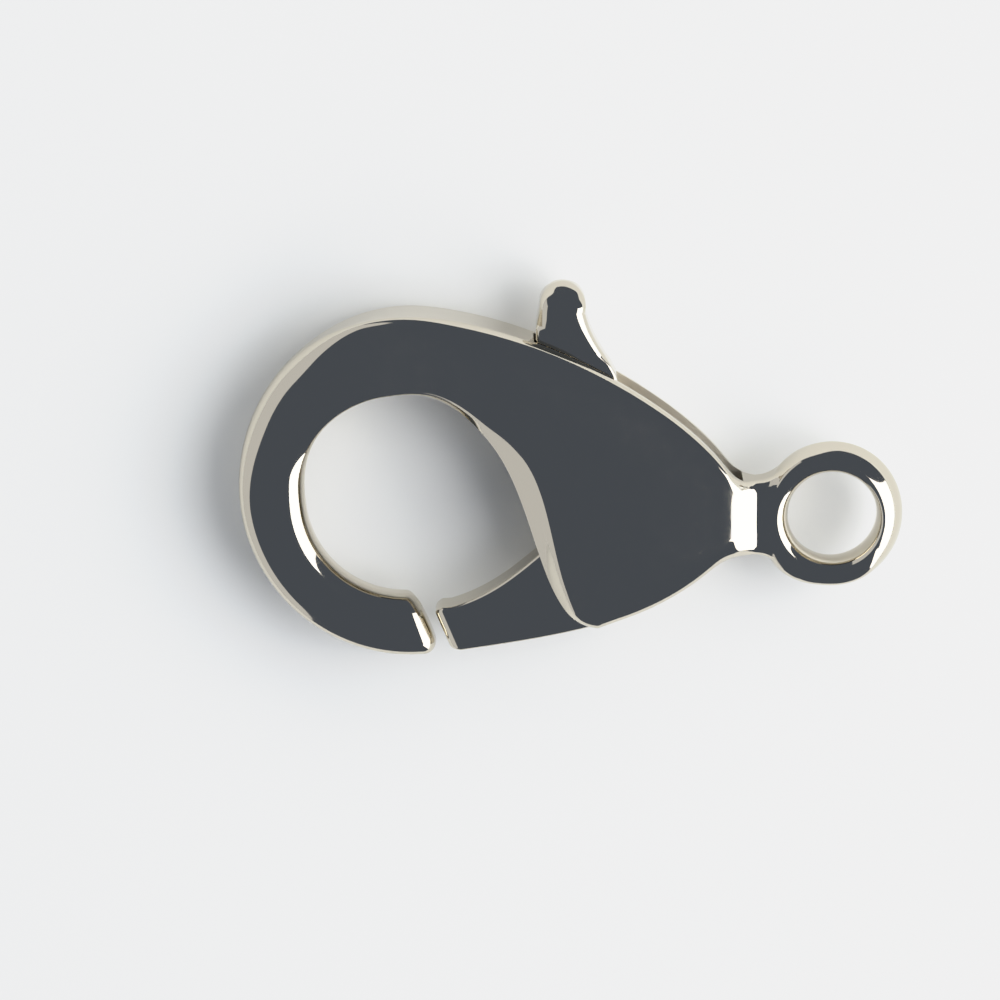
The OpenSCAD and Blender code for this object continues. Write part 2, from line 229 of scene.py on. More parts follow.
    def ring_out(self, angle):
        """Radius of the ring's outline."""
        from_low_left = np.clip(2 * (angle - math.radians(225)), -math.pi / 2, math.pi / 2)
        fuller = np.maximum(0, np.cos(from_low_left)) ** 2
        return self.eye_out + self.RING_TALLER * np.sin(angle) ** 2 + self.RING_FULLER * fuller

    def ring_height(self, xy):
        """Half thickness of the ring at plan points."""
        r, angle = np.hypot(*xy.T), np.arctan2(xy[:, 1], xy[:, 0]) % (2 * math.pi)
        start, crest = self.ring_shoulder(angle), self.ring_crest(angle)
        share = np.clip((r - start) / (self.ring_out(angle) - start), 0, 1)
        inside = flare_depth((r - EYE_R) / (crest - EYE_R))
        return self.g["eye_t"] / 2 * (1 - share**2) ** 0.7 - self.g["eye_flare_h"] * inside


def flare_depth(share):
    """The flare's depth, as a share, at a share of its width from the bore: a quarter round."""
    share = np.clip(share, 0, 1)
    return 1 - np.sqrt(share * (2 - share))


# Height of the cheeks' faces: distance from the eye as a share of the hook's reach, then a share
# between the thin ends and the body's full thickness. The first rows are the slope up from the neck.
FACE_ROWS = np.array(
    [
        (0.179, 0), (0.191, 0.11), (0.21, 0.35), (0.225, 0.53), (0.232, 0.58), (0.3, 0.71), (0.37, 0.83),
        (0.45, 0.94), (0.54, 1), (0.74, 1), (0.81, 0.94), (0.9, 0.74), (1, 0.46), (1.1, 0.2), (1.2, 0.04),
        (1.28, 0),
    ]
)


def row_share(x):
    """Monotone cubic through FACE_ROWS."""
    xs, ys = FACE_ROWS.T
    step = np.diff(ys) / np.diff(xs)
    rate = np.zeros(len(xs))
    for i in range(1, len(xs) - 1):
        m, n = step[i - 1], step[i]
        rate[i] = 0 if m * n <= 0 else 2 * m * n / (m + n)
    x = np.clip(x, xs[0], xs[-1])
    i = np.clip(np.searchsorted(xs, x) - 1, 0, len(xs) - 2)
    h = xs[i + 1] - xs[i]
    t = (x - xs[i]) / h
    return (
        ys[i] * (1 + 2 * t) * (1 - t) ** 2 + rate[i] * h * t * (1 - t) ** 2
        + ys[i + 1] * t * t * (3 - 2 * t) + rate[i + 1] * h * t * t * (t - 1)
    )


# Frame. Pairs given to rise with a station are the stations between which an edge changes.

# share of the hook's reach at which the thin end's thickness goes from the neck's to the hook's
HOOK_SIDE = 0.6
# the least thickness that a section keeps, and how far the neck's end stays below the ring's face
LEAST_Z, UNDER_RING = 0.05, 0.01


def face_height(plan, s, x, v):
    """Half thickness of the frame at station s, at plan x and at share v across the section."""
    g, reach = plan.g, -x / HOOK_REACH
    swell = row_share(reach) * rise(s, 0.3, 0.5)
    thin = np.where(reach > HOOK_SIDE, g["hook_t"], g["neck_t"]) / 2
    thin = mix(thin, g["eye_t"] / 2, rise(x, -2.6, -2.0))
    at_lower = rise(s, plan.CORNER - plan.CORNER_RUN, plan.CORNER + plan.CORNER_RUN / 2)
    at_upper = rise(reach, 0.2, 0.42) * (1 - rise(reach, 0.85, 1.05))

    def fall(v):
        return np.maximum(0, (v - 1 + plan.fall_share) / plan.fall_share) ** 2

    falls = at_upper * fall(1 - 2 * v) + at_lower * fall(2 * v - 1)
    return mix(thin, g["body_t"] / 2, swell) - g["face_drop"] * swell * falls


def outer_edge(g, s):
    """Width and depth of the outer edge's rounding: wider round the hook's top left, where it takes
    a pale band of light, and wide and shallow at the neck."""
    width = mix(g["hook_edge_out"], g["hook_edge_top"], rise(s, 0.48, 0.66))
    width = mix(width, g["body_edge"], rise(s, 0.76, 0.92))
    neck = rise(s, 2.05, 2.5)
    width = mix(width, g["neck_edge"], neck)
    return width, mix(width, g["neck_edge_depth"], neck)


def inner_edge(g, s):
    """Rounding of the inner edge where it has no bevel: large at the hook's seat, small above it."""
    radius = mix(g["hook_edge_in"], 0.6 * g["body_edge"], rise(s, 0.58, 0.82))
    radius = mix(radius, 1.2 * g["body_edge"], rise(s, 1.4, 1.6))
    return mix(radius, g["neck_edge_low"], rise(s, 1.85, 2.3))


def mouth_bevel(plan, s):
    """How far the inner edge is the mouth's bevel, its width and its slope. It starts narrow, and
    narrows again to the corner."""
    share = rise(s, 1.0, 1.16) * (1 - rise(s, plan.CORNER - plan.CORNER_RUN, plan.CORNER))
    width = plan.g["bevel_w"] * (0.3 + 0.7 * rise(s, 1.12, 1.42)) * (1 - 0.8 * rise(s, 1.42, 1.74))
    return share, width, mix(plan.bevel_slope_top, plan.bevel_slope, rise(s, 1.25, 1.42))


def bevel_profile(f):
    """Distance in and depth, as shares, of a straight slope whose upper corner is softened."""
    spread, soft = 1.25, 0.07
    width = spread * (1 - f)
    depth = soft * np.log1p(np.exp((1 - width) / soft))
    return width, (depth - depth[0]) / (depth[-1] - depth[0])


def both_faces(front):
    """A closed loop from its front half, mirrored behind."""
    return np.concatenate([front, front[::-1] * [1, 1, -1]])


def frame_section(plan, s, inset, edge_n=14, face_n=40):
    """One closed loop of the frame at station s, as an array of points in mm."""
    g = plan.g
    p, q = plan.outer_at(s), plan.inner_at(s)
    across = unit(q - p)
    opened = g["bore_rise"] * rise(s, 0.5, 0.8) * (1 - rise(s, 1.04, 1.22))
    p, q = p + across * inset, q - across * (inset + opened)
    w = np.linalg.norm(q - p)
    out_w, out_depth = outer_edge(g, s)
    round_in = inner_edge(g, s)
    bevel, bevel_w, steep = mouth_bevel(plan, s)
    # sections cross the mouth aslant, so the bevel is taken wider there to be even along the edge
    along = unit(plan.inner_at(s + 0.004) - plan.inner_at(max(s - 0.004, 0)))
    facing = max(0.35, abs(across[0] * along[1] - across[1] * along[0]))
    in_w = mix(round_in, bevel_w / facing, bevel)

    f = np.linspace(0, 1, edge_n + 1)
    arc = f * math.pi / 2
    slope_width, slope_depth = bevel_profile(f)
    u_out = out_w * (1 - np.cos(arc))
    u_in = w - in_w * mix(1 - np.sin(arc), slope_width, bevel)
    u_face = np.linspace(u_out[-1], u_in[0], face_n + 1)[1:-1]
    u = np.concatenate([u_out, u_face, u_in])
    xy = p + np.outer(u, across)
    z = face_height(plan, s, xy[:, 0], u / w) - inset
    bevel_depth = max(0.02, min(z[-1] - plan.slot_half, bevel_w * math.tan(steep)))
    z[: edge_n + 1] -= out_depth * (1 - np.sin(arc))
    z[-(edge_n + 1):] -= mix(round_in, bevel_depth, bevel) * mix(1 - np.cos(arc), slope_depth, bevel)

    # the neck's end takes the ring's own height
    over_flare = np.hypot(*xy.T) < plan.ring_crest(np.arctan2(xy[:, 1], xy[:, 0]))
    z = mix(z, plan.ring_height(xy) - UNDER_RING, np.where(over_flare, 1, rise(s, 3.4, 3.97)))
    return both_faces(np.column_stack([xy, np.maximum(z, LEAST_Z)]))


def frame_loops(plan):
    tip_round = plan.g["tip_round"]
    tip_run = tip_round / (plan.outer_r[0] * math.pi)
    loops = []
    for a in np.radians(np.linspace(90, 0, 9)):
        loops.append(frame_section(plan, tip_run * (1 - math.sin(a)), tip_round * (1 - math.cos(a))))
    stations = np.concatenate([steps(130), 1 + steps(170), 2 + steps(36), 3 + steps(12)])
    for s in stations[stations > tip_run * 1.5]:
        last = s == stations[-1]
        loops.append(frame_section(plan, min(s, 3.9999), plan.g["flare_in"] if last else 0))
    return loops


def ring_mesh(plan):
    """The ring eye: a straight bore with flared mouths and a round outer side."""
    h = plan.g["eye_t"] / 2
    flare_r = 1 - np.cos(np.linspace(0, math.pi / 2, 15))
    flare_z = h - plan.g["eye_flare_h"] * flare_depth(flare_r)
    b = np.radians(np.linspace(90, 0, 29)[1:])
    loops = []
    for t in np.linspace(0, 2 * math.pi, 300, endpoint=False):
        crest, start, out = plan.ring_crest(t), plan.ring_shoulder(t), plan.ring_out(t)
        r = np.concatenate([mix(EYE_R, crest, flare_r), [start + 1e-3], mix(start, out, np.cos(b))])
        z = np.concatenate([flare_z, [h], h * np.sin(b) ** 1.4])
        r, z = np.concatenate([r, r[-2::-1]]), np.concatenate([z, -z[-2::-1]])
        loops.append(np.column_stack([r * math.cos(t), r * math.sin(t), z]))
    return mesh_from_loops("ring_eye", loops, closed=True)


def slot_end(plan):
    """The slot's end in plan, from the web up: its foot and its heel."""
    neck, end = plan.g["neck_w"], -plan.g["slot_end"]
    return np.array([end - 0.6 * neck, -0.48 * neck]), np.array([end - 0.1 * neck, 0.2 * neck])


def slot_outline(plan):
    """The slot between the cheeks, open at the top and at the mouth."""
    g = plan.g
    # the cut comes out through the mouth just below its upper end
    root = bezier(plan.mouth, 0.1)
    top, under = (plan.outer_c[1] + k * (plan.outer_r[1] + 1) for k in (1, -1))
    stop_x, end = plan.stem_x - g["stop_gap"], -g["slot_end"]
    web_from, web_to = 0.56, 0.8
    web = [plan.inside_lower(t, g["web_t"]) for t in np.linspace(web_from, web_to, 12)]
    return np.array(
        [
            [stop_x, top], [stop_x, g["stop_low"]], root + [0.2, 0.3], root + [-0.4, -0.4], plan.bore_c,
            [plan.bore_c[0] + HOOK_R, under], bezier(plan.lower, web_from) - [0, 1],
            *web, *slot_end(plan), [end, 0.5 * g["neck_w"]], [end, top],
        ]
    )


# Meshes


def mesh_from_loops(name, loops, closed=False):
    """A skin over equal loops of points in mm, with its two ends filled unless the loops close."""
    points = np.concatenate(loops) * MM
    n, m = len(loops[0]), len(loops)
    faces = []
    for i in range(m if closed else m - 1):
        a, b = i * n, ((i + 1) % m) * n
        for k in range(n):
            j = (k + 1) % n
            faces.append((a + k, b + k, b + j, a + j))
    if not closed:
        faces.append(tuple(range(n)))
        faces.append(tuple((m - 1) * n + k for k in reversed(range(n))))
    mesh = bpy.data.meshes.new(name)
    mesh.from_pydata(points.tolist(), [], faces)
    bm = bmesh.new()
    bm.from_mesh(mesh)
    bmesh.ops.recalc_face_normals(bm, faces=bm.faces)
    bm.to_mesh(mesh)
    bm.free()
    return mesh


def prism(name, outline, low, high):
    """A straight-sided cutter over an outline in mm."""
    return mesh_from_loops(name, [np.column_stack([outline, np.full(len(outline), z)]) for z in (low, high)])


def add_object(name, mesh):
    obj = bpy.data.objects.new(name, mesh)
    bpy.context.scene.collection.objects.link(obj)
    return obj


def combine(obj, mesh, operation):
    """Joins a second solid to obj or cuts it away, and applies the result."""
    tool = add_object(mesh.name, mesh)
    step = obj.modifiers.new(operation.lower(), "BOOLEAN")
    step.operation, step.object, step.solver = operation, tool, "MANIFOLD"
    dg = bpy.context.evaluated_depsgraph_get()
    done = bpy.data.meshes.new_from_object(obj.evaluated_get(dg))
    obj.modifiers.clear()
    obj.data = done
    bpy.data.objects.remove(tool)


def smooth_shade(obj, angle):
    """Smooth shading, with edges sharper than the angle kept crisp."""
    obj.data.shade_smooth()
    bm = bmesh.new()
    bm.from_mesh(obj.data)
    for e in bm.edges:
        if len(e.link_faces) == 2 and e.calc_face_angle(0) > math.radians(angle):
            e.smooth = False
    bm.to_mesh(obj.data)
    bm.free()


# Lever

# the arm runs along the body's lower edge between these places on it
ARM_FROM, ARM_TO = 0.047, 0.5
# degrees round the hub at which its round starts, and the share of the hub's loops before it
HUB_FROM, HUB_START = -100, 0.15
# the stem's loops below the tab, as a share, and the place reached there on the tab's right edge
STEM_SHARE, TAB_RIGHT_FROM = 0.6, 0.38
# the shares of those loops up to the stem's outer corner, and up to the stop's foot
CORNER_SHARE, STOP_SHARE = 0.8, 0.7
# height of the tab's lower right corner under its middle, as a share of its radius
TAB_LOW = -0.4


def lever_front(p, q, half, edge_p, edge_q, edge_n=8, face_n=24):
    """The front half of a section of the lever from p to q, with its own rounding at each."""
    across = unit(q - p)
    w = np.linalg.norm(q - p)
    squeeze = min(1, 0.98 * w / (edge_p + edge_q))
    rp, rq = edge_p * squeeze, edge_q * squeeze
    arc = np.linspace(0, 1, edge_n + 1) * math.pi / 2
    u_p, u_q = rp * (1 - np.cos(arc)), w - rq * (1 - np.sin(arc))
    u_face = np.linspace(u_p[-1], u_q[0], face_n + 1)[1:-1]
    z = np.full(2 * edge_n + face_n + 1, half)
    z[: edge_n + 1] -= min(edge_p, half) * (1 - np.sin(arc))
    z[-(edge_n + 1):] -= min(edge_q, half) * (1 - np.cos(arc))
    return np.column_stack([p + np.outer(np.concatenate([u_p, u_face, u_q]), across), z])


def lever_section(*args):
    return both_faces(lever_front(*args))


def arm_loops(plan, arm_top, face, away):
    """The arm from its rounded end, which faces the hook's tip, to the hub."""
    half, edge, tip_edge = plan.g["lever_t"] / 2, plan.g["lever_edge"], plan.g["arm_tip_edge"]
    low_a, low_b = (bezier(plan.lower, mix(ARM_FROM, ARM_TO, s)) for s in (0, 0.06))
    loops = []
    for a in np.radians(np.linspace(90, 0, 11)):
        back, drop = 1 - math.sin(a), tip_edge * (1 - math.cos(a))
        p, q = mix(mix(face[0], low_a, 0.5), low_b, back), face[1] + away * tip_edge * back
        across = unit(q - p)
        p, q = p + across * drop * 0.4, q - across * drop * 0.5
        loops.append(lever_section(p, q, half - drop, edge, edge))
    for s in steps(60)[5:]:
        p, q = bezier(plan.lower, mix(ARM_FROM, ARM_TO, s)), bezier(arm_top, s)
        loops.append(lever_section(p, q, half, edge, edge))
    return loops


def hub_loops(plan, corner):
    """The hub: its outside goes round the pivot, its inside stays in the corner of arm and stem."""
    half, edge = plan.g["lever_t"] / 2, plan.g["lever_edge"]

    def on_hub(angle):
        return plan.pivot + plan.g["hub_r"] * turned(angle)

    loops = []
    for s in steps(30):
        if s < HUB_START:
            p = mix(bezier(plan.lower, ARM_TO), on_hub(HUB_FROM), s / HUB_START)
        else:
            p = on_hub(mix(HUB_FROM, 0, (s - HUB_START) / (1 - HUB_START)))
        loops.append(lever_section(p, mix(*corner, s), half, edge, edge))
    return loops


def stem_loops(plan, stem_left, tab_right):
    """The stem, thicker and rounder from where it leaves the cheeks up to the tab's middle."""
    g, tab_c = plan.g, plan.tab_c
    half, head_half, edge = g["lever_t"] / 2, g["tab_t"] / 2, g["lever_edge"]
    left_high, tab_left = np.array([plan.stem_x, g["tab_h"] - g["tab_r"]]), tab_c - [g["tab_r"], 0]
    loops = []
    for s in steps(110):
        if s < STEM_SHARE:
            k = s / STEM_SHARE
            if k < CORNER_SHARE:
                p = bezier(plan.stem_right, k / CORNER_SHARE)
            else:
                p = bezier(tab_right, TAB_RIGHT_FROM * (k - CORNER_SHARE) / (1 - CORNER_SHARE))
            if k < STOP_SHARE:
                q = bezier(stem_left, k / STOP_SHARE)
            else:
                q = mix(stem_left[3], left_high, (k - STOP_SHARE) / (1 - STOP_SHARE))
        else:
            k = (s - STEM_SHARE) / (1 - STEM_SHARE)
            p, q = bezier(tab_right, mix(TAB_RIGHT_FROM, 1, k)), mix(left_high, tab_left, k)
        y = (p[1] + q[1]) / 2
        right = mix(edge, g["head_edge_right"], rise(y, 5.7, 6.2))
        left = mix(edge, g["head_edge_left"], rise(y, 6.2, 6.5))
        loops.append(lever_section(p, q, mix(half, head_half, rise(y, 5.7, 7.3)), right, left))
    return loops


def tab_loops(plan):
    """The tab's round top: its faces fall to a thin edge, which stays crisper right at the top."""
    g, tab_c, tab_r, head_half = plan.g, plan.tab_c, plan.g["tab_r"], plan.g["tab_t"] / 2
    right, left = g["head_edge_right"], g["head_edge_left"]
    turn_from = math.degrees(math.asin(TAB_LOW))
    loops = []
    for a in np.linspace(0, 88.7, 30)[1:]:
        p, q = tab_c + tab_r * turned(mix(turn_from, 90, a / 90)), tab_c + tab_r * turned(180 - a)
        front = lever_front(p, q, head_half, right, left)
        out = front[:, :2] - tab_c
        rho, way = np.hypot(*out.T), np.degrees(np.arctan2(out[:, 1], out[:, 0])) % 360
        crisp = 1 - 0.6 * rise(way, 25, 50) * (1 - rise(way, 108, 128))
        run = mix(right, left, rise(way, 60, 120)) * np.where(way > 300, 1, crisp)
        near = np.clip(1 - (tab_r - rho) / run, 0, 1)
        fall = g["tab_top_drop"] * (np.maximum(0, out[:, 1]) / tab_r) ** 1.4
        z = head_half - fall - run * (1 - np.sqrt(1 - near**2))
        front[:, 2] = np.where((out[:, 1] > 0) | (out[:, 0] > 0), z, front[:, 2])
        loops.append(both_faces(front))
    return loops


def lever_loops(plan):
    """Loops from the arm's end, round the hub and up the stem to the top of the tab."""
    g, hub = plan.g, plan.g["hub_r"]
    tip_out, tip_in = plan.outer_at(0), plan.inner_at(0)
    x, y = unit(tip_out - tip_in)
    away = np.array([-y, x])
    face = [mix(tip_out, tip_in, u) + away * g["tip_gap"] for u in (0, 0.66)]
    arm_inner, stem_inner = (plan.pivot + hub * np.array(k) for k in ([-1.1, 0.72], [-0.98, 0.95]))
    arm_top = swing(face[1], [1, 0.2], 0.4, arm_inner, [0.78, 0.62], 0.35)
    stem_left = swing(stem_inner, [-0.4, 1], 0.25, [plan.stem_x, g["stop_low"]], [0, 1], 0.4)
    tab_corner = plan.tab_c + g["tab_r"] * np.array([1, TAB_LOW])
    tab_right = swing(plan.stem_corner, [-0.5, 1], 0.35, tab_corner, [-0.24, 1], 0.4)
    return [
        *arm_loops(plan, arm_top, face, away),
        *hub_loops(plan, (arm_top[3], stem_left[0])),
        *stem_loops(plan, stem_left, tab_right),
        *tab_loops(plan),
    ]


# Pin and spring

# play between the leaf and what it lies on, radius of its bend, its broken edges, its rounded end
LEAF_CLEAR, LEAF_BEND, LEAF_EDGE, LEAF_END = 0.05, 0.36, 0.05, 0.2


def leaf_path(plan):
    """Middle line of the spring's leaf: along the web, round the slot's end, and up to the stem."""
    off = LEAF_CLEAR + plan.g["spring_t"] / 2
    foot, heel = slot_end(plan)
    x, y = unit(heel - foot)
    n = np.array([-y, x])
    centre, knee = heel + n * (off + LEAF_BEND), foot + n * off
    tip = bezier(plan.stem_right, 0.6) + [off, 0]
    reach = tip - centre
    first = math.degrees(math.atan2(-n[1], -n[0]))
    last = math.degrees(math.atan2(reach[1], reach[0]) - math.acos(LEAF_BEND / np.linalg.norm(reach)))
    toe = mix(knee, plan.inside_lower(0.8, plan.g["web_t"] + off), 0.6)
    parts = [toe, knee, *(centre + LEAF_BEND * turned(np.linspace(first, last, 24))), tip]
    line = []
    for a, b in zip(parts, parts[1:]):
        pieces = 11 if np.linalg.norm(b - a) > 0.5 else 1
        line += [mix(a, b, k / pieces) for k in range(pieces)]
    return np.array([*line, tip])


def leaf_mesh(plan):
    """The leaf: a strip with its edges broken, a touch rounder at its free end."""
    line, t, w, e = leaf_path(plan), plan.g["spring_t"] / 2, plan.g["spring_w"] / 2, LEAF_EDGE
    along = np.gradient(line, axis=0)
    along /= np.linalg.norm(along, axis=1)[:, None]
    side = np.column_stack([-along[:, 1], along[:, 0]])
    corner = [(t, w - e), (t - 0.3 * e, w - 0.3 * e), (t - e, w)]
    ring = corner + [(-a, b) for a, b in corner[::-1]]
    ring = np.array(ring + [(a, -b) for a, b in ring[::-1]])
    far = np.linalg.norm(line - line[-1], axis=1)
    loops = []
    for point, n, d in zip(line, side, far):
        narrow = w - LEAF_END * (1 - math.sqrt(1 - max(0, 1 - d / LEAF_END) ** 2))
        loops.append(np.column_stack([point + np.outer(ring[:, 0], n), ring[:, 1] * narrow / w]))
    return mesh_from_loops("leaf", loops)


def pin_mesh(low, high):
    """The pin: ground round, its ends chamfered and a little hollow from the parting tool."""
    c = (low + high) / 2 / MM
    r, z0, z1 = (high.x - low.x) / 2 / MM, low.z / MM, high.z / MM
    # share of the radius, and distance in from the end
    side = [
        (0.02, 0.05), (0.3, 0.03), (0.66, 0.02), (0.82, 0.005),
        (0.86, 0), (0.92, 0.015), (0.97, 0.04), (1, 0.08),
    ]
    profile = [(k * r, z0 + d) for k, d in side] + [(k * r, z1 - d) for k, d in side[::-1]]
    loops = [np.column_stack([circle(96, k, (c.x, c.y)), np.full(96, z)]) for k, z in profile]
    return mesh_from_loops("pin", loops)


# Materials


def linear(hex_colour):
    """sRGB hex to linear RGBA."""
    rgb = [int(hex_colour[i: i + 2], 16) / 255 for i in (1, 3, 5)]
    return [c / 12.92 if c <= 0.04045 else ((c + 0.055) / 1.055) ** 2.4 for c in rgb] + [1.0]


def add_node(tree, kind, links=(), **settings):
    """Adds a node. settings with a plain name set its own properties, and those in inputs its sockets;
    links are (socket, output) pairs."""
    node = tree.nodes.new(kind)
    for key, value in settings.pop("inputs", {}).items():
        node.inputs[key].default_value = value
    for key, value in settings.items():
        setattr(node, key, value)
    for socket, output in links:
        tree.links.new(output, node.inputs[socket])
    return node


def new_material(name):
    """An empty material, its nodes, and the piece's own coordinates for its patterns."""
    mat = bpy.data.materials.new(name)
    mat.use_nodes = True
    tree = mat.node_tree
    tree.nodes.clear()
    return mat, tree, add_node(tree, "ShaderNodeTexCoord").outputs["Object"]


def nickel_plate(name, finish):
    """Bright nickel plate on a tumbled zinc casting: a mirror, with the faint swell of the casting
    under it, so that reflections bend a little, and a few pin pricks where the plating bridged a pore."""
    mat, tree, where = new_material(name)
    swell = add_node(
        tree, "ShaderNodeTexNoise", [("Vector", where)], inputs={"Scale": 1 / (1.6 * MM), "Detail": 1.0}
    )
    rough = add_node(
        tree, "ShaderNodeTexNoise", [("Vector", where)], inputs={"Scale": 1 / (0.35 * MM), "Detail": 3.0}
    )
    pores = add_node(tree, "ShaderNodeTexVoronoi", [("Vector", where)], inputs={"Scale": 1 / (1.1 * MM)})
    prick = add_node(
        tree, "ShaderNodeMapRange", [("Value", pores.outputs["Distance"])],
        inputs={"From Min": 0.03, "From Max": 0.05, "To Min": -1.0, "To Max": 0.0},
    )
    gloss = add_node(
        tree, "ShaderNodeMapRange", [("Value", rough.outputs["Fac"])],
        inputs={"From Min": 0.3, "From Max": 0.7, "To Min": 0.05, "To Max": 0.09},
    )
    waves = add_node(
        tree, "ShaderNodeBump", [("Height", swell.outputs["Fac"])],
        inputs={"Strength": 1.0, "Distance": 0.004 * MM},
    )
    pits = add_node(
        tree, "ShaderNodeBump", [("Height", prick.outputs["Result"]), ("Normal", waves.outputs["Normal"])],
        inputs={"Strength": 0.3, "Distance": 0.003 * MM},
    )
    bsdf = add_node(
        tree, "ShaderNodeBsdfPrincipled",
        [("Roughness", gloss.outputs["Result"]), ("Normal", pits.outputs["Normal"])],
        inputs={"Metallic": 1.0, "Base Color": linear(finish.nickel)},
    )
    add_node(tree, "ShaderNodeOutputMaterial", [("Surface", bsdf.outputs["BSDF"])])
    return mat


def plated_casting(name, finish):
    """Nickel plate where the polishing wheel can't reach, between the cheeks: a satin grey with the
    casting's grain under it, which takes light from all round instead of mirroring one dark patch."""
    mat, tree, where = new_material(name)
    grain = add_node(
        tree, "ShaderNodeTexNoise", [("Vector", where)], inputs={"Scale": 1 / (0.12 * MM), "Detail": 3.0}
    )
    gloss = add_node(
        tree, "ShaderNodeMapRange", [("Value", grain.outputs["Fac"])], inputs={"To Min": 0.4, "To Max": 0.6}
    )
    bump = add_node(
        tree, "ShaderNodeBump", [("Height", grain.outputs["Fac"])], inputs={"Distance": 0.006 * MM}
    )
    bsdf = add_node(
        tree, "ShaderNodeBsdfPrincipled",
        [("Roughness", gloss.outputs["Result"]), ("Normal", bump.outputs["Normal"])],
        inputs={"Metallic": 1.0, "Base Color": linear(finish.nickel)},
    )
    add_node(tree, "ShaderNodeOutputMaterial", [("Surface", bsdf.outputs["BSDF"])])
    return mat


def drawn_steel(name, colour):
    """Hard drawn spring steel and ground pin steel: grey, with fine lines along the strip that
    spread the highlight one way."""
    mat, tree, where = new_material(name)
    lines = add_node(tree, "ShaderNodeMapping", [("Vector", where)], inputs={"Scale": (1, 1, 12)})
    grain = add_node(
        tree, "ShaderNodeTexNoise", [("Vector", lines.outputs["Vector"])],
        inputs={"Scale": 1 / (0.5 * MM), "Detail": 2.0},
    )
    gloss = add_node(
        tree, "ShaderNodeMapRange", [("Value", grain.outputs["Fac"])], inputs={"To Min": 0.22, "To Max": 0.38}
    )
    bump = add_node(
        tree, "ShaderNodeBump", [("Height", grain.outputs["Fac"])], inputs={"Distance": 0.002 * MM}
    )
    bsdf = add_node(
        tree, "ShaderNodeBsdfPrincipled",
        [("Roughness", gloss.outputs["Result"]), ("Normal", bump.outputs["Normal"])],
        inputs={"Metallic": 1.0, "Base Color": linear(colour)},
    )
    add_node(tree, "ShaderNodeOutputMaterial", [("Surface", bsdf.outputs["BSDF"])])
    return mat


def matt_card(name, colour):
    """Matt white card under the clasp: no gloss, a faint tooth."""
    mat, tree, where = new_material(name)
    tooth = add_node(
        tree, "ShaderNodeTexNoise", [("Vector", where)], inputs={"Scale": 1 / (0.4 * MM), "Detail": 3.0}
    )
    bump = add_node(
        tree, "ShaderNodeBump", [("Height", tooth.outputs["Fac"])], inputs={"Distance": 0.002 * MM}
    )
    bsdf = add_node(
        tree, "ShaderNodeBsdfPrincipled", [("Normal", bump.outputs["Normal"])],
        inputs={"Base Color": linear(colour), "Roughness": 0.9, "Specular IOR Level": 0.0},
    )
    add_node(tree, "ShaderNodeOutputMaterial", [("Surface", bsdf.outputs["BSDF"])])
    return mat


def dress(obj, mat):
    obj.data.materials.clear()
    obj.data.materials.append(mat)


# Sizes and finishes that a user would change


def length(name, description, mm):
    return FloatProperty(name=name, description=description, default=mm * MM, unit="LENGTH", precision=5)


def slope(name, description, degrees):
    return FloatProperty(name=name, description=description, default=math.radians(degrees), subtype="ANGLE")


